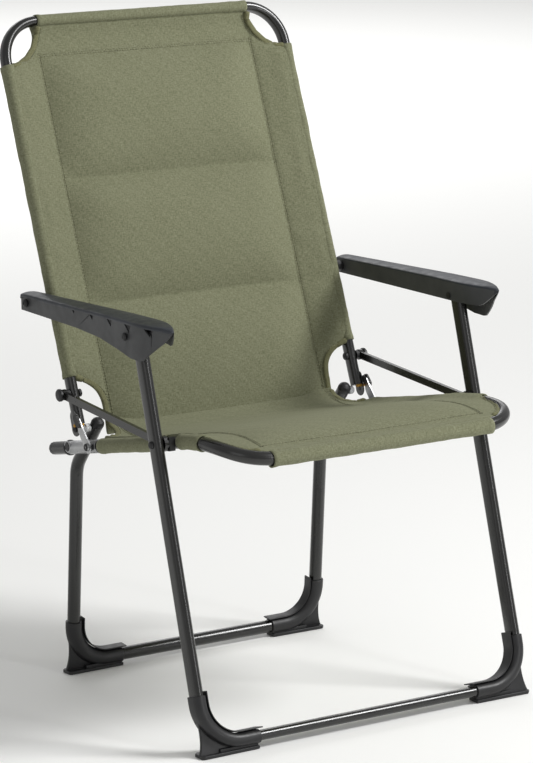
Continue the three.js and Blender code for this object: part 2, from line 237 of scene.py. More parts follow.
def loft(rings, closed=True, capped=True, looped=False, slot=0):
    rings = [[Vector(p) for p in ring] for ring in rings]
    count = len(rings[0])
    stored = len(rings)
    verts = [p for ring in rings for p in ring]
    if looped:
        rings.append(rings[0])
    middle = rings[len(rings) // 2]
    around = runningLengths(middle + [middle[0]])
    far = runningLengths([sum(ring, Vector()) / count for ring in rings])
    faces = []
    uvs = []
    for r in range(len(rings) - 1):
        for i in range(count if closed else count - 1):
            j = (i + 1) % count
            upper = ((r + 1) % stored) * count
            faces.append((r * count + i, r * count + j, upper + j, upper + i))
            uvs.append([(around[i], far[r]), (around[i + 1], far[r]),
                        (around[i + 1], far[r + 1]), (around[i], far[r + 1])])
    if capped and not looped:
        for face in (tuple(reversed(range(count))), tuple(range((stored - 1) * count, stored * count))):
            faces.append(face)
            uvs.append([(verts[i][0] / 1000, verts[i][2] / 1000) for i in face])
    return makeShell(verts, faces, uvs, slot)


def finishMesh(obj, sharp=38, bevel=0.0, subdivide=0):
    obj.data.shade_smooth()
    if sharp:
        obj.data.set_sharp_from_angle(angle=math.radians(sharp))
    if bevel:
        edge = obj.modifiers.new("edges", "BEVEL")
        edge.width = bevel / 1000
        edge.segments = 2
        edge.limit_method = "ANGLE"
        edge.angle_limit = math.radians(38)
    if subdivide:
        finer = obj.modifiers.new("finer", "SUBSURF")
        finer.levels = subdivide
        finer.render_levels = subdivide


def makeObject(name, shells, materials):
    mesh = bpy.data.meshes.new(name)
    verts = []
    faces = []
    uvs = []
    slots = []
    for shell in shells:
        start = len(verts)
        verts += [toRow(v) for v in shell["verts"]]
        faces += [tuple(i + start for i in face) for face in shell["faces"]]
        uvs += [uv for corners in shell["uvs"] for uv in corners]
        slots += [shell["slot"]] * len(shell["faces"])
    mesh.from_pydata(verts, [], faces)
    layer = mesh.uv_layers.new(name="cloth")
    for corner, uv in zip(layer.data, uvs):
        corner.uv = uv
    for polygon, slot in zip(mesh.polygons, slots):
        polygon.material_index = slot
    work = bmesh.new()
    work.from_mesh(mesh)
    bmesh.ops.recalc_face_normals(work, faces=work.faces)
    work.to_mesh(mesh)
    work.free()
    for material in materials:
        mesh.materials.append(finishes[material])
    obj = bpy.data.objects.new(name, mesh)
    bpy.context.scene.collection.objects.link(obj)
    return obj


def settle(obj, body, replaced=()):
    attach(obj, body)
    if replaced:
        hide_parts(*replaced)


def makePiece(name, shells, materials, body, slotName, replaced=(), **options):
    obj = makeObject(name, shells, materials)
    finishMesh(obj, **options)
    settle(obj, body, replaced)
    return obj


def mirroredShell(shell):
    return makeShell([Vector((-v.x, v.y, v.z)) for v in shell["verts"]], [f[::-1] for f in shell["faces"]],
                     [u[::-1] for u in shell["uvs"]], shell["slot"])


def applied(obj):  # the object's evaluated mesh becomes its own mesh
    graph = bpy.context.evaluated_depsgraph_get()
    mesh = bpy.data.meshes.new_from_object(
        obj.evaluated_get(graph), preserve_all_data_layers=True, depsgraph=graph)
    obj.modifiers.clear()
    obj.data = mesh
    return obj


# Tubes

def roundedPath(points, radii, steps=14):
    points = [Vector(p) for p in points]
    path = [points[0]]
    for i, radius in enumerate(radii, 1):
        before = (points[i - 1] - points[i]).normalized()
        after = (points[i + 1] - points[i]).normalized()
        half = before.angle(after) / 2
        centre = points[i] + (before + after).normalized() * (radius / math.sin(half))
        start = points[i] + before * (radius / math.tan(half)) - centre
        turn = math.pi - 2 * half
        axis = (-before).cross(after).normalized()
        path += [centre + Matrix.Rotation(turn * s / steps, 3, axis) @ start for s in range(steps + 1)]
    return path + [points[-1]]


def flatOval(width, depth, steps=10):  # width lies in the frame's plane, depth across it
    r = min(width, depth) / 2
    straight = abs(depth - width) / 2
    outline = []
    for side in (0, 1):
        for i in range(steps + 1):
            angle = (0 if depth >= width else -math.pi / 2) + side * math.pi + math.pi * i / steps
            shift = straight if side == 0 else -straight
            a = r * math.cos(angle) + (shift if width > depth else 0)
            b = r * math.sin(angle) + (shift if depth >= width else 0)
            if not outline or math.dist(outline[-1], (a, b)) > 0.01:
                outline.append((a, b))
    if math.dist(outline[0], outline[-1]) < 0.01:
        outline.pop()
    return outline


def sweepFrames(path, normal=None):  # place, side and normal at each point of the path
    frames = []
    held = Vector(normal) if normal else Vector((0, 0.2, 1))
    for i, point in enumerate(path):
        tangent = (path[min(i + 1, len(path) - 1)] - path[max(i - 1, 0)]).normalized()
        side = tangent.cross(held).normalized()
        if not normal:
            held = side.cross(tangent).normalized()
        frames.append((point, side, side.cross(tangent).normalized()))
    return frames


def sweep(path, sectionAt, normal=None, **options):  # sectionAt(i) gives the outline at point i
    rings = [[p + side * a + up * b for a, b in sectionAt(i)]
             for i, (p, side, up) in enumerate(sweepFrames(path, normal))]
    return loft(rings, **options)


def subdividedPath(path, step):  # points no further than step apart
    path = [Vector(p) for p in path]
    out = [path[0]]
    for a, b in zip(path, path[1:]):
        count = max(1, round((b - a).length / step))
        out += [a.lerp(b, (i + 1) / count) for i in range(count)]
    return out


def plateShell(outline, x0, x1, slot=0):  # a flat plate in the side view
    verts = [(x0, y, z) for y, z in outline] + [(x1, y, z) for y, z in outline]
    count = len(outline)
    faces = [tuple(reversed(range(count))), tuple(range(count, 2 * count))]
    faces += [(i, (i + 1) % count, (i + 1) % count + count, i + count) for i in range(count)]
    return makeShell(verts, faces, None, slot)


def linkOutline(start, end, endRadius, barHalf, steps=12):
    turn = math.atan2(end[1] - start[1], end[0] - start[0])
    corner = math.asin(barHalf / endRadius)
    outline = []
    for centre, base in ((start, 0), (end, math.pi)):
        for i in range(steps + 1):
            angle = turn + base + corner + (2 * math.pi - 2 * corner) * i / steps
            outline.append((centre[0] + endRadius * math.cos(angle),
                            centre[1] + endRadius * math.sin(angle)))
    return outline


backFrame = {"half": 234.5, "foot": 236.6, "slope": 0.379, "top": 933, "end": 386, "corner": 58,
             "width": 14, "depth": 20, "ear": (239.7, 241.3)}
frontFrame = {"half": 261.5, "foot": 9.7, "slope": 0.2808, "top": 556, "width": 14, "depth": 25}
rearFrame = {"half": 208.7, "foot": 467.5, "slope": -0.0888, "bend": 313, "bendRadius": 45, "width": 19,
             "tip": (378, 383.5)}
floorBar = {"height": 15, "corner": 56}


def onFrame(frameSizes, x, z):
    return Vector((x, frameSizes["foot"] + frameSizes["slope"] * z, z))


def uPath(frameSizes, low, high, radius):  # down one side, across the floor bar and up the other
    half = frameSizes["half"]
    places = ((-half, high), (-half, low), (half, low), (half, high))
    corners = [onFrame(frameSizes, x, z) for x, z in places]
    return roundedPath(corners, [radius, radius])


def planeNormal(frameSizes):
    return Vector((0, -1, frameSizes["slope"])).normalized()


backPath = uPath(backFrame, backFrame["top"], backFrame["end"], backFrame["corner"])
backLow = backFrame["foot"] + backFrame["slope"] * 396
ears = [plateShell(linkOutline(chair["rearPivot"], (backLow, 396), 10.5, 10.3), *backFrame["ear"])]
ears.append(mirroredShell(ears[0]))
makePiece("back_tube", [sweep(backPath, lambda i: flatOval(backFrame["width"], backFrame["depth"]),
                              planeNormal(backFrame))] + ears,
          ["anthracitePowderCoat"], "back_frame", "frame_paint", ["back_frame_tube"], bevel=0.5)

frontPath = uPath(frontFrame, floorBar["height"], frontFrame["top"], floorBar["corner"])
makePiece("front_legs_tube", [sweep(frontPath, lambda i: flatOval(frontFrame["width"], frontFrame["depth"]),
                                    planeNormal(frontFrame))],
          ["anthracitePowderCoat"], "front_legs", "frame_paint", ["front_leg_tube"], bevel=0.5)

rearHalf = rearFrame["half"]
rearPath = roundedPath([
    (-rearHalf, *rearFrame["tip"]), onFrame(rearFrame, -rearHalf, rearFrame["bend"]),
    onFrame(rearFrame, -rearHalf, floorBar["height"]), onFrame(rearFrame, rearHalf, floorBar["height"]),
    onFrame(rearFrame, rearHalf, rearFrame["bend"]), (rearHalf, *rearFrame["tip"]),
], [rearFrame["bendRadius"], floorBar["corner"], floorBar["corner"], rearFrame["bendRadius"]])
makePiece("rear_legs_tube", [sweep(rearPath, lambda i: flatOval(rearFrame["width"], rearFrame["width"]),
                                   (0, 1, 0.02))],
          ["anthracitePowderCoat"], "rear_legs", "frame_paint", ["rear_leg_tube"], bevel=0.5)

seatFrame = {"half": 228.7, "width": 19, "front": -30, "frontZ": 404}
# the rail's side view from the back end to where it turns in, and its turn to the front bar
railSide = [(461, 337), (190, 391.7), (150, 400.6), (124, 406.6), (92, 412.3), (60, 416), (34, 416.6)]
railCorner = [(226, 12, 415.4), (217, -8, 411.6), (201, -22, 407.6), (180, -29, 405), (160, -30, 404)]


def smoothed(points, rounds=2):  # rounds the corners of an open line, keeping its ends
    points = [Vector(p) for p in points]
    for _ in range(rounds):
        cut = [points[0]]
        for a, b in zip(points, points[1:]):
            cut += [a.lerp(b, 0.25), a.lerp(b, 0.75)]
        points = cut + [points[-1]]
    return points


halfRail = [(seatFrame["half"], *place) for place in railSide] + railCorner
seatPath = smoothed(halfRail + [(-x, y, z) for x, y, z in reversed(halfRail)])
makePiece("seat_tube", [sweep(seatPath, lambda i: flatOval(seatFrame["width"], seatFrame["width"]))],
          ["anthracitePowderCoat"], "seat", "frame_paint", ["seat_frame_tube"], bevel=0.5)

# The rear ends of the rails sit in zinc sleeves closed by a black ring
railEnd = {"low": 334, "ring": 420.5, "ringHalf": 1.7, "ringRadius": 11.2, "sleeve": 0.28, "washer": 8.6}


def alongRail(y, x=0.0):
    (y0, z0), (y1, z1) = railSide[:2]
    return Vector((x, y, z0 + (z1 - z0) * (y - y0) / (y1 - y0)))


def railEndShells():
    half = seatFrame["half"]
    size = seatFrame["width"] + 2 * railEnd["sleeve"]
    path = [alongRail(y, half) for y in (railEnd["low"], railEnd["low"] + 30, railEnd["ring"])]
    sleeveShell = sweep(path, lambda i: flatOval(size, size, 16))
    pivotY, pivotZ = chair["rearLegPivot"]
    washer = loft([[(x, pivotY + r * math.cos(a), pivotZ + r * math.sin(a))
                    for a in (i * math.tau / 32 for i in range(32))]
                   for x, r in ((half + 9.4, railEnd["washer"]), (half + 10.1, railEnd["washer"] - 0.3))])
    return [sleeveShell, washer]


rightEnd = railEndShells()
makePiece("rail_end_sleeves", rightEnd + [mirroredShell(s) for s in rightEnd], ["zincPlatedSteel"], "seat",
          "zinc_steel", bevel=0.2)
ringPath = [alongRail(railEnd["ring"] + way * railEnd["ringHalf"], seatFrame["half"]) for way in (-1, 1)]
ring = sweep(ringPath, lambda i: flatOval(2 * railEnd["ringRadius"], 2 * railEnd["ringRadius"], 16))
makePiece("rail_end_rings", [ring, mirroredShell(ring)], ["blackPolypropylene"], "seat", "black_plastic",
          bevel=0.6)
print("tubes made")

# Moulded shoes: a sleeve round the bend, a flat sole, a web in the outer corner and a lip on the inside
shoe = {"wall": 2.5, "sole": 4.5, "soleWidth": 24, "web": 4.5, "lipOut": 4.1, "lip": 1.8,
        "lipPast": 5, "webLength": 62, "webDrop": 14}


def shoeShells(sizes, depth, barEnd, sleeveTop):
    half = sizes["half"]
    width = sizes["width"]
    outer = half + width / 2 + shoe["wall"]
    level = floorBar["height"]
    normal = planeNormal(sizes)
    corner = [onFrame(sizes, half, sleeveTop), onFrame(sizes, half, level), onFrame(sizes, barEnd, level)]
    path = roundedPath(corner, [floorBar["corner"]], 20)
    sleeve = sweep(path, lambda i: flatOval(width + 2 * shoe["wall"], depth + 2 * shoe["wall"]), normal)
    # the lip follows the sleeve on its inner side and runs past both of its ends
    longer = [onFrame(sizes, half, sleeveTop + shoe["lipPast"]), onFrame(sizes, half, level),
              onFrame(sizes, barEnd - 6, level)]
    lipPath = []
    for p, side, _ in sweepFrames(roundedPath(longer, [floorBar["corner"]], 20), normal):
        lipPath.append(p + side * (width / 2 + shoe["lipOut"]))
    lip = sweep(lipPath, lambda i: flatOval(shoe["lip"], depth * 0.86), normal)
    # the web: concave towards the outer floor corner
    line = [(outer - shoe["webLength"], 2.5), (outer - 0.4, 2.5)]
    top = sleeveTop - shoe["webDrop"]
    line += [((1 - t) ** 2 * (outer - 0.4) + 2 * t * (1 - t) * (outer - 10) + t * t * (outer - 1.6),
              (1 - t) ** 2 * 4 + 2 * t * (1 - t) * 26 + t * t * top) for t in (i / 12 for i in range(13))]
    line += [(outer - 12, top), (outer - 30, 24), (outer - shoe["webLength"], 12)]
    y = [sizes["foot"] + sizes["slope"] * z for _, z in line]
    webHalf = shoe["web"] / 2
    rings = [[(x, yy + off, z) for (x, z), yy in zip(line, y)] for off in (-webHalf, webHalf)]
    web = loft(rings)
    middle = onFrame(sizes, 0, level).y
    soleHalf = shoe["soleWidth"] / 2
    rim = [(barEnd + 1, soleHalf * 0.86), (outer - 4, soleHalf), (outer, soleHalf * 0.7),
           (outer, -soleHalf * 0.7), (outer - 4, -soleHalf), (barEnd + 1, -soleHalf * 0.86)]
    sole = loft([[(x, middle + off, z) for x, off in rim] for z in (0, shoe["sole"])])
    post = loft([[(x, middle + off, z) for x, off in ((barEnd + 2, 8), (outer - 30, 8), (outer - 30, -8),
                                                      (barEnd + 2, -8))] for z in (3, 9)])
    return [sleeve, lip, web, sole, post]


for label, sizes, depth, barEnd, sleeveTop, body in (
        ("front_foot", frontFrame, frontFrame["depth"], 179, 80, "front_legs"),
        ("rear_foot", rearFrame, rearFrame["width"], 129.2, 78, "rear_legs")):
    rightShoe = shoeShells(sizes, depth, barEnd, sleeveTop)
    for side, shells in (("right", rightShoe), ("left", [mirroredShell(s) for s in rightShoe])):
        makePiece(f"{label}_shoe_{side}", shells, ["blackPolypropylene"], body, "black_plastic",
                  [f"{label}_{side}"], bevel=0.7)
print("shoes made")

# Armrests: an upside-down channel under a lipped top that narrows to a beak, with notches below the lip
armrest = {"beakFrom": 138, "beakLength": 68, "beakHalf": 1.8, "innerLow": 544.2,
           "skirtIn": 1.4, "lip": 5.5, "wall": 2.4, "crown": 1.6,
           "notchY": (308, 256, 205, 155, 108), "notchSize": (3.6, 5.4, 7.4, 9.0, 8.0)}
armTop = [(70, 568.5), (74, 570.5), (86, 572.2), (120, 573), (200, 572.6), (458, 567), (464, 564)]
armBottom = [(70, 565), (84, 552), (122, 522), (150, 523), (180, 529), (235, 538), (300, 541.5), (464, 543)]


def armSection(y):
    narrow = clamp((armrest["beakFrom"] - y) / armrest["beakLength"]) ** 2.1
    centre = between(y, [(150, 264.2), (464, 265.6)])
    half = between(y, [(150, 20.7), (464, 13.6)]) * (1 - narrow) + armrest["beakHalf"] * narrow
    top = between(y, armTop)
    bottom = min(between(y, armBottom), top - 2.2)
    innerBottom = min(max(bottom, armrest["innerLow"]), top - 2.2)
    lip = min(armrest["lip"], (top - bottom) * 0.6)
    inset = min(armrest["skirtIn"] + 5 * narrow, half * 0.45)
    wall = min(armrest["wall"], half * 0.3)
    r = min(3.0, half * 0.6)
    outerX = centre + half
    innerX = centre - half
    ring = [(outerX - inset, bottom), (outerX - inset, top - lip), (outerX - 0.3, top - lip + 0.4),
            (outerX, top - lip + 1)]
    ring += [(outerX - r + r * math.sin(a), top - r + r * math.cos(a)) for a in (1.57, 1.2, 0.8, 0.4, 0.05)]
    ring += [(centre + (half - r) * s, top + armrest["crown"] * (1 - s * s) * (1 - narrow))
             for s in (0.66, 0.33, 0, -0.33, -0.66)]
    ring += [(innerX + r - r * math.sin(a), top - r + r * math.cos(a)) for a in (0.05, 0.4, 0.8, 1.2, 1.57)]
    ring += [(innerX, innerBottom), (innerX + wall, innerBottom), (innerX + wall, top - r - 0.2),
             (outerX - inset - wall, top - r - 0.2), (outerX - inset - wall, bottom)]
    return [(x, y, z) for x, z in ring]


def armrestShells():
    places = [70, 71.5, 74, 78, 82, 86, 91, 97, 104, 112, 120, 128, 136, 143, 150, 165, 180, 200, 220, 235,
              260, 300, 350, 400, 440, 458, 462, 464]
    channel = loft([armSection(y) for y in places])
    rearWall = loft([[(x, y, z) for x, _, z in armSection(460)[:24]] for y in (459.5, 463.5)])
    rearWall["slot"] = 1
    return [channel, rearWall]


def cutWith(obj, cutters):
    tool = makeObject("cutter", cutters, ["blackPolypropylene"])
    cut = obj.modifiers.new("notches", "BOOLEAN")
    cut.operation = "DIFFERENCE"
    cut.solver = "EXACT"
    cut.object = tool
    applied(obj)
    bpy.data.objects.remove(tool)


def notchCutters():
    cutters = []
    for y, size in zip(armrest["notchY"], armrest["notchSize"]):
        top = between(y, armTop) - armrest["lip"] - 0.2
        triangle = [(y - size * 0.8, top), (y + size * 1.1, top), (y - size * 0.3, top - size * 1.25)]
        reach = 276.2 if y > 130 else 262
        cutters.append(plateShell(triangle, reach, 292))
    return cutters


for side in ("right", "left"):
    shells = armrestShells()
    cutters = notchCutters()
    if side == "left":
        shells = [mirroredShell(s) for s in shells]
        cutters = [mirroredShell(s) for s in cutters]
    arm = makeObject(f"armrest_shell_{side}", shells, ["slatePolypropylene", "greyPolypropylene"])
    cutWith(arm, cutters)
    for polygon in arm.data.polygons:
        centre = polygon.center * 1000
        top = between(centre.y + chair["middleY"], armTop)
        onTop = centre.z > top - armrest["lip"] - 0.4 and polygon.normal.z > -0.5
        polygon.material_index = 0 if onTop else 1
    finishMesh(arm, bevel=0.35)
    settle(arm, f"armrest_{side}", [f"armrest_{side}"])
print("armrests made")


# Slings. Each panel is a closed double layer on its own (u, v) grid, filled by a cloth simulation with its
# seams, channels and hems held, so the padding crowns between them.
sling = {"seam": 178, "flat": 1.2, "roll": 26, "ridge": 1.6, "sag": 5.0, "tubeGrow": 1.3, "step": 6.2,
         "pressure": 6.0, "frames": 18, "cap": 12.0, "hem": 4.2, "shoulder": 62,
         "rowShoulder": 48, "rearShare": 0.35, "pucker": 0.9, "pull": 2.6, "pullHeight": 590,
         "pullReach": 110}
backSling = {"low": 368, "sleeveLow": 449, "sleeveHigh": 874, "topSeam": 888, "channels": (714, 543),
             "cornerRadius": 60, "cutWide": 50, "cutHigh": 41, "crown": 17.0, "topEnd": 176.5}
seatSling = {"rear": 384, "sleeves": ((57, 111), (142, 327)), "bar": 178, "crown": 6.0}
backLean = math.atan(backFrame["slope"])


def onBack(x, h, off):  # off is the distance in front of the tubes' plane
    return Vector((x, backFrame["foot"] + backFrame["slope"] * h - off * math.cos(backLean),
                   h + off * math.sin(backLean)))


def backHalfWidth(h):
    outer = backFrame["half"] + 3.5
    if h > backSling["sleeveHigh"]:
        r = backSling["cornerRadius"]
        return max(outer - math.sqrt(max(r * r - (backFrame["top"] - 1 - h) ** 2, 0)), sling["seam"] + 1)
    if h < backSling["sleeveLow"]:
        rise = clamp((h - 408) / backSling["cutHigh"])
        return outer + 1 - backSling["cutWide"] * math.sqrt(1 - rise * rise)
    return backFrame["half"]


def backThickness(x, h):  # half the panel's thickness before it is filled
    width = backFrame["half"]
    bySide = clamp((abs(x) - sling["seam"]) / (width - sling["seam"] - 3))
    bySide *= smooth((h - backSling["sleeveLow"] + 10) / 24)
    bySide *= smooth((backSling["sleeveHigh"] + 14 - h) / 24)
    byTop = smooth((sling["roll"] - (backFrame["top"] - h)) / sling["roll"])
    ridge = sling["ridge"] * smooth((abs(x) - sling["seam"]) / 4) * smooth((width - 8 - abs(x)) / 10)
    return sling["flat"] + ridge * (1 - byTop) + (
        backFrame["depth"] / 2 + 0.6 - sling["flat"]) * max(bySide, byTop)


def shoulder(distance, reach):  # rises steeply from an edge and levels off after reach
    return 1 - (1 - clamp(distance / reach)) ** 2.2


def crownAt(x, v, cells, seam):
    for low, high in cells:
        if low <= v <= high:
            across = shoulder(seam - abs(x), sling["shoulder"])
            return across * shoulder(min(v - low, high - v), sling["rowShoulder"])
    return 0.0


backCells = [(backSling["low"] - 40, backSling["channels"][1]), backSling["channels"][::-1],
             (backSling["channels"][0], backSling["topSeam"])]


def backPoint(x, h, face):
    crown = crownAt(x, h, backCells, sling["seam"])
    beyond = smooth((abs(x) - sling["seam"] - 4) / 10)
    puckers = ripple(x, h * 0.45, 3 * face, 16) * sling["pucker"] * beyond
    pull = ripple(x * 0.3, h, 7, 20) * sling["pull"] * beyond
    pull *= smooth(1 - abs(h - sling["pullHeight"]) / sling["pullReach"]) * (1.4 if x > 0 else 0.5)
    sag = -sling["sag"] * clamp((backFrame["half"] - abs(x)) / (backFrame["half"] - sling["seam"]))
    share = 1 if face > 0 else sling["rearShare"]
    off = sag + pull + face * (backThickness(x, h) + crown * backSling["crown"] * share + puckers)
    tuck = smooth((backSling["low"] + 26 - h) / 26)
    return onBack(x, h, off - 4 * tuck)


seatProfileStops = [(-30, 405), (-16, 410), (8, 414.5), (34, 416.6), (60, 416), (92, 412.3), (124, 406.6),
                    (150, 400.6), (190, 391.7), (300, 370.5), (330, 366.8), (350, 368.5), (362, 371.5),
                    (374, 376), (384, 383)]


def seatHalfWidth(y):
    if y < 40:
        return max(170 + 57 * math.sqrt(max(1 - ((40 - y) / 66) ** 2, 0)), sling["seam"] + 1)
    if y > 327:
        rise = clamp((366 - y) / 40)
        return 236 - 47 * math.sqrt(1 - rise * rise)
    return seatFrame["half"] if y > 57 else 227 + (seatFrame["half"] - 227) * (y - 40) / 17


def seatPoint(x, y, face):
    crown = crownAt(x, y, [(-10, 400)], sling["seam"])
    z = between(y, seatProfileStops)
    onRail = smooth((y - 44) / 20) * smooth((340 - y) / 20)
    bySide = smooth((sling["roll"] - (seatFrame["half"] - abs(x))) / sling["roll"]) * onRail
    byBar = smooth((14 - (y - seatFrame["front"])) / 14)
    thick = sling["flat"] + (seatFrame["width"] / 2 + 0.6 - sling["flat"]) * max(bySide, byBar)
    wrinkle = ripple(x * 0.5, y, 4 * face, 24) * 0.8 + ripple(x, y * 0.4, 9, 55) * 1.2
    edge = smooth((abs(x) - sling["seam"]) / 20)
    sag = 3.4 * (1 - (x / seatFrame["half"]) ** 2) - 2.4
    off = 3.0 * (1 - bySide) * (1 - byBar) - sag + face * (thick + crown * seatSling["crown"] * (
        1 if face > 0 else 0.3)) + wrinkle * (0.35 + 0.65 * edge)
    return Vector((x, y, z + off))


def gridLine(stops, step):  # stops joined by evenly spaced places
    line = [stops[0]]
    for a, b in zip(stops, stops[1:]):
        count = max(1, round(abs(b - a) / step))
        line += [a + (b - a) * (i + 1) / count for i in range(count)]
    return line


def panel(rows, halfWidth, pointAt, held):  # shell of a double layer, with how firmly each point is held
    seam = sling["seam"]
    inner = gridLine([-seam, -seam + 3, -seam + 7, seam - 7, seam - 3, seam], sling["step"])
    strips = [i / 11 for i in range(11)] + [0.955]
    verts = []
    weights = []
    uvs = []
    for face in (1, -1):
        for v in rows:
            width = halfWidth(v)
            line = [-width + (width - sling["seam"]) * share for share in strips]
            line += inner + [-x for x in reversed(line)]
            for x in line:
                verts.append(pointAt(x, v, face))
                uvs.append((x / 1000, v * 1.07 / 1000))
                weights.append(held(x, v))
    across = len(inner) + 2 * len(strips)
    layer = across * len(rows)
    faces = []
    for r in range(len(rows) - 1):
        for i in range(across - 1):
            a = r * across + i
            faces.append((a, a + 1, a + across + 1, a + across))
            faces.append((a + layer, a + across + layer, a + across + 1 + layer, a + 1 + layer))
    rim = [i for i in range(across)] + [r * across + across - 1 for r in range(1, len(rows))]
    rim += [layer - 1 - i for i in range(1, across)] + [r * across for r in range(len(rows) - 2, 0, -1)]
    for a, b in zip(rim, rim[1:] + rim[:1]):
        faces.append((a, a + layer, b + layer, b))
    return makeShell(verts, faces, [[uvs[i] for i in face] for face in faces]), weights


# How the padding gives: soft in bending, firm in stretch
padding = {"quality": 5, "mass": 0.25, "tension_stiffness": 14, "compression_stiffness": 10,
           "bending_stiffness": 0.25}


def fill(obj, weights):  # blows up the free parts of a double layer between the held ones
    start = [v.co.copy() for v in obj.data.vertices]
    group = obj.vertex_groups.new(name="held")
    for i, weight in enumerate(weights):
        if weight > 0:
            group.add([i], weight, "REPLACE")
    cloth = obj.modifiers.new("fill", "CLOTH")
    cloth.settings.vertex_group_mass = "held"
    for key, value in padding.items():
        setattr(cloth.settings, key, value)
    cloth.settings.use_pressure = True
    cloth.settings.uniform_pressure_force = sling["pressure"]
    cloth.settings.effector_weights.gravity = 0
    cloth.collision_settings.use_collision = False
    cloth.point_cache.frame_start = 1
    cloth.point_cache.frame_end = sling["frames"]
    for number in range(1, sling["frames"] + 1):
        bpy.context.scene.frame_set(number)
    applied(obj)
    bpy.context.scene.frame_set(1)
    limit = sling["cap"] / 1000
    farthest = 0.0
    for vertex, place in zip(obj.data.vertices, start):
        move = vertex.co - place
        farthest = max(farthest, move.length)
        if move.length > limit:
            vertex.co = place + move.normalized() * limit
    obj.vertex_groups.clear()
    print(f"{obj.name} filled, farthest move {farthest * 1000:.1f} mm")


def isNear(value, places, reach):
    return any(abs(value - place) < reach for place in places)


def backHeld(x, h):
    half = backHalfWidth(h)
    if abs(x) > half - 3 or h < backSling["low"] + 4 or h > backSling["topSeam"] - 3:
        return 1.0
    if isNear(abs(x), [sling["seam"]], 2) or isNear(h, backSling["channels"], 1):
        return 1.0
    return 0.55 if abs(x) > sling["seam"] else 0.0


def seatHeld(x, y):
    half = seatHalfWidth(y)
    if abs(x) > half - 3 or y < seatFrame["front"] + 22 or y > seatSling["rear"] - 3:
        return 1.0
    if isNear(abs(x), [sling["seam"]], 2):
        return 1.0
    return 0.6 if abs(x) > sling["seam"] else 0.25


# Fabric sleeves round a tube: two layers thick, slightly loose and hemmed at both ends
def sleeve(path, frameNormal, width, depth, seed):
    path = subdividedPath(path, 5)
    lengths = [1000 * v for v in runningLengths(path)]
    frames = sweepFrames(path, frameNormal)
    outline = flatOval(width, depth, 12)

    def ring(i, grow):
        p, side, up = frames[i]
        nearEnd = min(lengths[i], lengths[-1] - lengths[i])
        hem = 0.55 * smooth((10 - nearEnd) / 3)
        points = []
        for a, b in outline:
            size = math.hypot(a, b)
            loose = 0.7 * ripple(a * 0.6 + seed, b * 0.6, lengths[i], 26)
            loose += 0.35 * ripple(a, b + seed, lengths[i], 9)
            push = grow + (hem + loose if grow > 0.4 else 0)
            points.append(p + side * (a + a / size * push) + up * (b + b / size * push))
        return points

    count = len(path)
    outward = [ring(i, sling["tubeGrow"]) for i in range(count)]
    return loft(outward + [ring(i, 0.25) for i in reversed(range(count))], looped=True)


# Binding tape folded over a cut edge, gathered a little so that its edge scallops
def binding(points, thickness, seed):
    path = subdividedPath(points, 3)
    lengths = [1000 * v for v in runningLengths(path)]
    shaped = []
    for p, far in zip(path, lengths):
        wave = math.sin(far / 3.1 + 2 * ripple(far, seed, 0, 17))
        shaped.append(p + Vector((0.25 * wave, 0.35 * ripple(far, seed, 4, 12), 0.25 * wave)))

    def section(i):
        nearEnd = min(i, len(shaped) - 1 - i)
        pinch = 0.35 + 0.65 * smooth(nearEnd / 2)
        puff = 1 + 0.12 * math.sin(lengths[i] / 2.6 + seed)
        deep = 2 * thickness(i / (len(shaped) - 1)) + 2.4
        return flatOval(2 * sling["hem"] * pinch, deep * puff * pinch, 6)

    return shaped, section


seamRows = [h + d for h in (*backSling["channels"][::-1], backSling["topSeam"]) for d in (-7, -3, 0, 3, 7)]
backRows = gridLine([backSling["low"], *seamRows, backFrame["top"]], sling["step"])
seatRows = gridLine([seatFrame["front"] + 3, 60, 327, seatSling["rear"]], sling["step"])
backShell, backWeights = panel(backRows, backHalfWidth, backPoint, backHeld)
seatShell, seatWeights = panel(seatRows, seatHalfWidth, seatPoint, seatHeld)
backPanel = makeObject("back_panel", [backShell], ["oliveTwill"])
seatPanel = makeObject("seat_panel", [seatShell], ["oliveTwill"])
fill(backPanel, backWeights)
fill(seatPanel, seatWeights)
for cloth in (backPanel, seatPanel):
    finishMesh(cloth, sharp=0, subdivide=1)
    applied(cloth)
print("panels filled")


def edgeLine(halfWidth, low, high, inset, place, count=26):  # an edge of a panel, from v low to v high
    return [place(halfWidth(low + (high - low) * i / count) - inset, low + (high - low) * i / count)
            for i in range(count + 1)]


def boundEdge(path, frameNormal, thickness, seed):
    shaped, section = binding(path, thickness, seed)
    return sweep(shaped, section, frameNormal, slot=1)


backNormal = planeNormal(backFrame)
topBarLine = [Vector((x, *onFrame(backFrame, 0, backFrame["top"])[1:])) for x in
              (-backSling["topEnd"], backSling["topEnd"])]
backTrim = [sleeve(topBarLine, backNormal, backFrame["width"], backFrame["depth"], 3)]
sideLine = [onFrame(backFrame, backFrame["half"], backSling[end]) for end in ("sleeveLow", "sleeveHigh")]
backSides = [sleeve(sideLine, backNormal, backFrame["width"], backFrame["depth"], 11)]
upperEdge = edgeLine(backHalfWidth, backSling["sleeveHigh"] - 2, backFrame["top"] - 7, 2.2,
                     lambda x, h: onBack(x, h, 0))
lowerEdge = edgeLine(backHalfWidth, backSling["low"] + 6, backSling["sleeveLow"] + 1, 2.2,
                     lambda x, h: onBack(x, h, -2 * smooth((410 - h) / 26)))
backSides.append(boundEdge(upperEdge, backNormal, lambda t: sling["flat"] + 8.6 * smooth((0.28 - t) / 0.28)
                      + 8 * smooth((t - 0.72) / 0.28), 1))
backSides.append(boundEdge(lowerEdge, backNormal, lambda t: sling["flat"]
                           + 8.6 * smooth((t - 0.75) / 0.25), 5))
backTrim += backSides + [mirroredShell(s) for s in backSides]

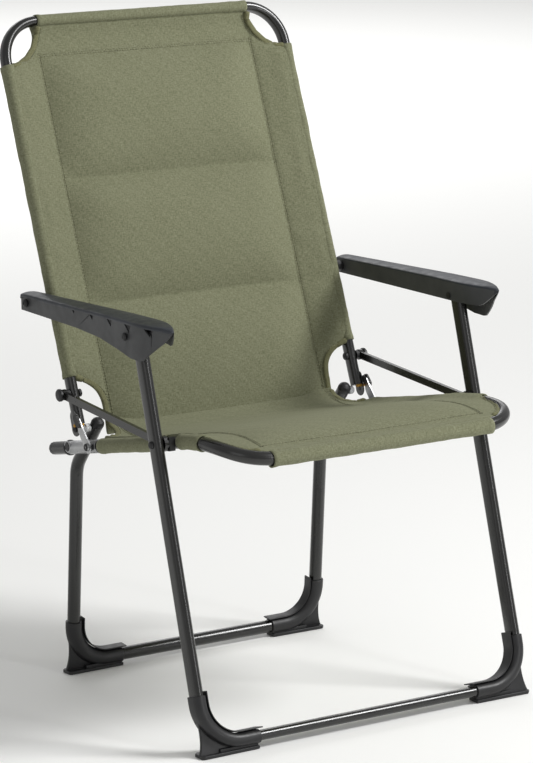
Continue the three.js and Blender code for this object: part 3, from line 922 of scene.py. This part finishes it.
barLine = [Vector((side * seatSling["bar"], seatFrame["front"], seatFrame["frontZ"])) for side in (-1, 1)]
seatTrim = [sleeve(barLine, (0, -0.1, 1), seatFrame["width"], seatFrame["width"], 23)]
seatSides = []


def railPoint(y):
    return Vector((seatFrame["half"], y, between(-y, [(-p, z) for p, z in railSide])))


for low, high in seatSling["sleeves"]:
    seatSides.append(sleeve([railPoint(y) for y in gridLine([low, high], 14)], (0, 0.1, 1),
                            seatFrame["width"], seatFrame["width"], low))
frontEdge = edgeLine(seatHalfWidth, seatFrame["front"] + 8, 56, 2.2,
                     lambda x, y: seatPoint(x, y, 1).lerp(seatPoint(x, y, -1), 0.5))
rearEdge = edgeLine(seatHalfWidth, 329, seatSling["rear"] - 2, 2.2,
                    lambda x, y: seatPoint(x, y, 1).lerp(seatPoint(x, y, -1), 0.5))
seatSides.append(boundEdge(frontEdge, (0, 0.1, 1), lambda t: sling["flat"] + 6 * smooth((0.2 - t) / 0.2)
                      + 7 * smooth((t - 0.85) / 0.15), 8))
seatSides.append(boundEdge(rearEdge, (0, -0.1, 1), lambda t: sling["flat"]
                           + 7 * smooth((0.22 - t) / 0.22), 2))
seatTrim += seatSides + [mirroredShell(s) for s in seatSides]


def joined(name, panelObject, trim, body, replaced):
    trimObject = makeObject(name + "_trim", trim, ["oliveTwill", "oliveBinding"])
    finishMesh(trimObject, sharp=0)
    work = bmesh.new()
    work.from_mesh(panelObject.data)
    work.from_mesh(trimObject.data)
    mesh = bpy.data.meshes.new(name)
    work.to_mesh(mesh)
    work.free()
    for material in ("oliveTwill", "oliveBinding"):
        mesh.materials.append(finishes[material])
    for old in (panelObject, trimObject):
        bpy.data.objects.remove(old)
    obj = bpy.data.objects.new(name, mesh)
    bpy.context.scene.collection.objects.link(obj)
    mesh.shade_smooth()
    settle(obj, body, [replaced])
    return obj


joined("back_sling_padded", backPanel, backTrim, "back_frame", "back_sling")
joined("seat_sling_padded", seatPanel, seatTrim, "seat", "seat_sling")
print("slings made")

# Stitches: short thread loops set along seam lines by Geometry Nodes
stitch = {"pitch": 4.4, "length": 1.7, "thickness": 0.62, "lift": 0.6, "apart": 3.2}


def stitchTree():
    tree = bpy.data.node_groups.new("stitchRow", "GeometryNodeTree")
    face = tree.interface
    face.new_socket(name="Seams", in_out="INPUT", socket_type="NodeSocketGeometry")
    for label in ("Pitch", "Half length", "Thickness"):
        face.new_socket(name=label, in_out="INPUT", socket_type="NodeSocketFloat")
    face.new_socket(name="Thread", in_out="INPUT", socket_type="NodeSocketMaterial")
    face.new_socket(name="Stitches", in_out="OUTPUT", socket_type="NodeSocketGeometry")
    start = addNode(tree, "NodeGroupInput").outputs
    curve = addNode(tree, "GeometryNodeMeshToCurve", {0: start["Seams"]})
    points = addNode(tree, "GeometryNodeCurveToPoints", {
        "Curve": curve.outputs[0], "Length": start["Pitch"]}, mode="LENGTH")
    bead = addNode(tree, "GeometryNodeMeshUVSphere", {"Segments": 6, "Rings": 5, "Radius": 1.0})
    size = addNode(tree, "ShaderNodeCombineXYZ", {
        0: start["Thickness"], 1: start["Thickness"], 2: start["Half length"]})
    shaped = addNode(tree, "GeometryNodeTransform", {"Geometry": bead.outputs[0], "Scale": size.outputs[0]})
    vary = addNode(tree, "FunctionNodeRandomValue", {"Seed": 7}, data_type="FLOAT")
    vary.inputs[2].default_value = 0.85
    vary.inputs[3].default_value = 1.15
    placed = addNode(tree, "GeometryNodeInstanceOnPoints", {
        "Points": points.outputs["Points"], "Instance": shaped.outputs[0],
        "Rotation": points.outputs["Rotation"], "Scale": vary.outputs[1]})
    real = addNode(tree, "GeometryNodeRealizeInstances", {0: placed.outputs[0]})
    painted = addNode(tree, "GeometryNodeSetMaterial", {
        "Geometry": real.outputs[0], "Material": start["Thread"]})
    addNode(tree, "NodeGroupOutput", {0: painted.outputs[0]})
    return tree


def nodesMesh(obj, tree, values):  # runs the tree on the object and keeps the result as a plain mesh
    made = obj.modifiers.new("nodes", "NODES")
    made.node_group = tree
    for item in tree.interface.items_tree:
        if item.in_out == "INPUT" and item.name in values:
            made[item.identifier] = values[item.name]
    applied(obj)
    obj.data.shade_smooth()
    return obj


rowsTree = stitchTree()


def stitchPiece(name, lines, body):
    mesh = bpy.data.meshes.new(name)
    verts = []
    edges = []
    for line in lines:
        start = len(verts)
        verts += [toRow(p) for p in line]
        edges += [(i, i + 1) for i in range(start, len(verts) - 1)]
    mesh.from_pydata(verts, edges, [])
    obj = bpy.data.objects.new(name, mesh)
    bpy.context.scene.collection.objects.link(obj)
    nodesMesh(obj, rowsTree, {"Pitch": stitch["pitch"] / 1000, "Half length": stitch["length"] / 1000,
                              "Thickness": stitch["thickness"] / 1000, "Thread": finishes["oliveThread"]})
    settle(obj, body)


def mirroredLines(lines):
    return [[Vector((-p.x, p.y, p.z)) for p in line] for line in lines]


def lifted(line, normal):
    return [Vector(p) + Vector(normal) * stitch["lift"] for p in line]


backLines = []
for off in (-stitch["apart"] / 2, stitch["apart"] / 2):
    for face in (1, -1):
        rows = gridLine([backSling["low"] + 8, backSling["topSeam"]], 8)
        backLines.append(lifted([backPoint(sling["seam"] + off, h, face) for h in rows], backNormal * face))
hemLines = [lifted(edgeLine(backHalfWidth, low, high, inset, lambda x, h: backPoint(x, h, 1)), backNormal)
            for low, high in ((backSling["sleeveHigh"] + 3, backFrame["top"] - 12),
                              (backSling["low"] + 8, backSling["sleeveLow"] - 3)) for inset in (6.5, 9.5)]
backLines += hemLines
backLines += mirroredLines(backLines)
for h in (backSling["topSeam"], backSling["topSeam"] - stitch["apart"]):
    for face in (1, -1):
        line = [backPoint(x, h, face) for x in gridLine([-sling["seam"], sling["seam"]], 8)]
        backLines.append(lifted(line, backNormal * face))
seatLines = []
for off in (-stitch["apart"] / 2, stitch["apart"] / 2):
    line = [seatPoint(sling["seam"] + off, y, 1) for y in gridLine([-8, seatSling["rear"] - 4], 8)]
    seatLines.append(lifted(line, (0, 0, 1)))
for low, high in ((seatFrame["front"] + 14, 52), (330, seatSling["rear"] - 4)):
    line = edgeLine(seatHalfWidth, low, high, 7, lambda x, y: seatPoint(x, y, 1))
    seatLines.append(lifted(line, (0, 0, 1)))
seatLines += mirroredLines(seatLines)
barSeam = [seatPoint(x, -6, 1) for x in gridLine([-sling["seam"], sling["seam"]], 8)]
seatLines.append(lifted(barSeam, (0, 0, 1)))
stitchPiece("back_stitches", backLines, "back_frame")
stitchPiece("seat_stitches", seatLines, "seat")
print("stitches made")

# Bolt heads: a domed head with a hexagon socket, one for each point of a small mesh, by Geometry Nodes
boltHead = {"dome": 0.26, "socket": 0.42, "depth": 0.2}


def headMesh():  # radius 1, standing out along +Z
    profile = [(1.0, -0.12), (1.0, 0.06), (0.93, 0.15), (0.72, boltHead["dome"]), (boltHead["socket"] + 0.08,
               boltHead["dome"] + 0.04)]
    rings = [[(r * math.cos(a), r * math.sin(a), z) for a in (i * math.tau / 24 for i in range(24))]
             for r, z in profile]
    for z in (boltHead["dome"] + 0.03, boltHead["dome"] - boltHead["depth"]):
        ring = []
        for i in range(24):
            angle = i * math.tau / 24
            r = boltHead["socket"] * math.cos(math.pi / 6) / math.cos((angle % (math.pi / 3)) - math.pi / 6)
            ring.append((r * math.cos(angle), r * math.sin(angle), z))
        rings.append(ring)
    mesh = bpy.data.meshes.new("head")
    shell = loft(rings)
    mesh.from_pydata(shell["verts"], [], shell["faces"])
    obj = bpy.data.objects.new("head", mesh)
    bpy.context.scene.collection.objects.link(obj)
    return obj


def headTree():
    tree = bpy.data.node_groups.new("boltHeads", "GeometryNodeTree")
    face = tree.interface
    face.new_socket(name="Places", in_out="INPUT", socket_type="NodeSocketGeometry")
    face.new_socket(name="Head", in_out="INPUT", socket_type="NodeSocketObject")
    face.new_socket(name="Finish", in_out="INPUT", socket_type="NodeSocketMaterial")
    face.new_socket(name="Heads", in_out="OUTPUT", socket_type="NodeSocketGeometry")
    start = addNode(tree, "NodeGroupInput").outputs
    head = addNode(tree, "GeometryNodeObjectInfo", {"Object": start["Head"]})
    radius = addNode(tree, "GeometryNodeInputNamedAttribute", {"Name": "radius"}, data_type="FLOAT")
    outward = addNode(tree, "GeometryNodeInputNamedAttribute", {"Name": "outward"}, data_type="FLOAT_VECTOR")
    turned = addNode(tree, "FunctionNodeAlignRotationToVector", {"Vector": outward.outputs[0]}, axis="Z")
    placed = addNode(tree, "GeometryNodeInstanceOnPoints", {
        "Points": start["Places"], "Instance": head.outputs["Geometry"], "Rotation": turned.outputs[0],
        "Scale": radius.outputs[0]})
    real = addNode(tree, "GeometryNodeRealizeInstances", {0: placed.outputs[0]})
    painted = addNode(tree, "GeometryNodeSetMaterial", {
        "Geometry": real.outputs[0], "Material": start["Finish"]})
    addNode(tree, "NodeGroupOutput", {0: painted.outputs[0]})
    return tree


template = headMesh()
headsTree = headTree()


def headPiece(name, heads, finish, body):  # heads are (x of the face, (y, z), radius, direction)
    mesh = bpy.data.meshes.new(name)
    mesh.from_pydata([toRow((x, *place)) for x, place, _, _ in heads], [], [])
    radius = mesh.attributes.new("radius", "FLOAT", "POINT")
    outward = mesh.attributes.new("outward", "FLOAT_VECTOR", "POINT")
    for i, (_, _, r, way) in enumerate(heads):
        radius.data[i].value = r / 1000
        outward.data[i].vector = (way, 0, 0)
    obj = bpy.data.objects.new(name, mesh)
    bpy.context.scene.collection.objects.link(obj)
    nodesMesh(obj, headsTree, {"Head": template, "Finish": finishes[finish]})
    obj.data.set_sharp_from_angle(angle=math.radians(35))
    settle(obj, body)


def pairOfHeads(x, place, radius, way):
    return [(x, place, radius, way), (-x, place, radius, -way)]


# each row is x of the head's face, its pivot, its radius and which way it points
boltRows = {
    "back": [(282.2, "armRear", 5.2, 1), (242.6, "rearPivot", 4.4, 1), (224.2, "armRear", 5.6, -1),
             (224.2, "rodRear", 5.6, -1)],
    "front": [(287.2, "armFront", 4.9, 1), (270.8, "seatFront", 4.6, 1), (214.7, "seatFront", 5.6, -1)],
    "latch": [(246, "latchPivot", 5.3, 1)],
}
for label, body in (("back", "back_frame"), ("front", "front_legs"), ("latch", "seat")):
    heads = [head for x, pivot, radius, way in boltRows[label]
             for head in pairOfHeads(x, chair[pivot], radius, way)]
    headPiece(f"{label}_bolt_heads", heads, "blackPolypropylene", body)
bpy.data.objects.remove(template)
print("bolt heads made")

# CAD nodes that are shown as they are get their real finish and softened edges
nodeFinishes = {  # finish, then how much each node's edges are softened
    "anthracitePowderCoat": {"side_rod": 1.3},
    "blackPolypropylene": {"armrest_rear_bolt": 0.4, "armrest_spacer": 0.4, "rod_rear_bolt": 0.4,
                           "rod_spacer": 0.4, "rod_knob": 0.8, "back_lower_rivet": 0.2,
                           "front_leg_plug": 0.5, "armrest_front_bolt": 0.4, "armrest_bush": 0.4,
                           "seat_bolt": 0.4, "seat_pivot_block": 1.2, "rear_leg_bolt": 0.2,
                           "latch_spacer": 0.4, "rear_leg_cap": 0.5, "latch_tab": 0.6},
    "turnedBrass": {"latch_pin": 0.2},
    "greyPolypropylene": {"seat_tube_cap": 0.8},
    "zincPlatedSteel": {"latch_bolt": 0.3, "rear_leg_bush": 0.5, "latch_plate": 0.35},
}
for finish, labels in nodeFinishes.items():
    for label, soften in labels.items():
        for side in ("left", "right"):
            node = nodes[f"{label}_{side}"]
            for place in node.material_slots:
                place.material = finishes[finish]
            edge = node.modifiers.new("edges", "BEVEL")
            edge.width = soften / 1000
            edge.segments = 3
            edge.limit_method = "ANGLE"
            edge.angle_limit = math.radians(40)
print("hardware finished")

# Floor, light and camera
studio = {"floor": "#fafaf8", "floorHalf": 30, "floorZ": -0.0005, "world": 0.42, "key": 122, "fill": 8,
          "rim": 22, "backdrop": 240}


def stageFloor():
    mesh = bpy.data.meshes.new("floor")
    reach = studio["floorHalf"]
    corners = [(x * reach, y * reach, studio["floorZ"]) for x, y in ((-1, -1), (1, -1), (1, 1), (-1, 1))]
    mesh.from_pydata(corners, [], [(0, 1, 2, 3)])
    paint = startMaterial("paleFloor", {"Base Color": linear(studio["floor"]), "Roughness": 0.9})[0]
    mesh.materials.append(paint)
    floor = bpy.data.objects.new("floor", mesh)
    bpy.context.scene.collection.objects.link(floor)


def softLight(name, place, target, size, energy, tall=None):
    lamp = bpy.data.lights.new(name, "AREA")
    lamp.energy = energy
    lamp.size = size
    if tall:
        lamp.shape = "RECTANGLE"
        lamp.size_y = tall
    obj = bpy.data.objects.new(name, lamp)
    bpy.context.scene.collection.objects.link(obj)
    obj.location = place
    obj.rotation_euler = (Vector(target) - Vector(place)).to_track_quat("-Z", "Y").to_euler()


stageFloor()
softLight("key", (2.2, -2.0, 3.1), (0, 0, 0.45), 1.1, studio["key"])
softLight("fill", (-3.2, -1.8, 1.8), (0, 0, 0.5), 2.2, studio["fill"])
softLight("backdrop", (3.0, 7.0, 4.0), (3.0, 7.5, 0), 6.0, studio["backdrop"])
softLight("strip", (1.1, -3.6, 1.2), (0, 0, 0.5), 0.34, studio["rim"], tall=2.4)
world = bpy.data.worlds.new("studio")
world.use_nodes = True
world.node_tree.nodes["Background"].inputs[0].default_value = (1, 1, 1, 1)
world.node_tree.nodes["Background"].inputs[1].default_value = studio["world"]
bpy.context.scene.world = world
bpy.context.scene.view_settings.view_transform = "Standard"

viewpoint = {"place": (-2.48659, -3.96037, 1.38213), "azimuth": -32.256, "elevation": 11.439, "roll": -0.809,
             "lens": 159.3}
azimuth, elevation, roll = (math.radians(viewpoint[k]) for k in ("azimuth", "elevation", "roll"))
backward = Vector((math.sin(azimuth) * math.cos(elevation), -math.cos(azimuth) * math.cos(elevation),
                   math.sin(elevation)))
level = Vector((math.cos(azimuth), math.sin(azimuth), 0))
upward = backward.cross(level)
axes = (level * math.cos(roll) + upward * math.sin(roll),
        upward * math.cos(roll) - level * math.sin(roll), backward)
camera = bpy.data.objects.new("camera", bpy.data.cameras.new("camera"))
camera.data.lens = viewpoint["lens"]
camera.data.sensor_width = 36
camera.data.clip_end = 100
camera.matrix_world = Matrix.Translation(viewpoint["place"]) @ Matrix(axes).transposed().to_4x4()
bpy.context.scene.collection.objects.link(camera)
bpy.context.scene.camera = camera

print("scene ready")
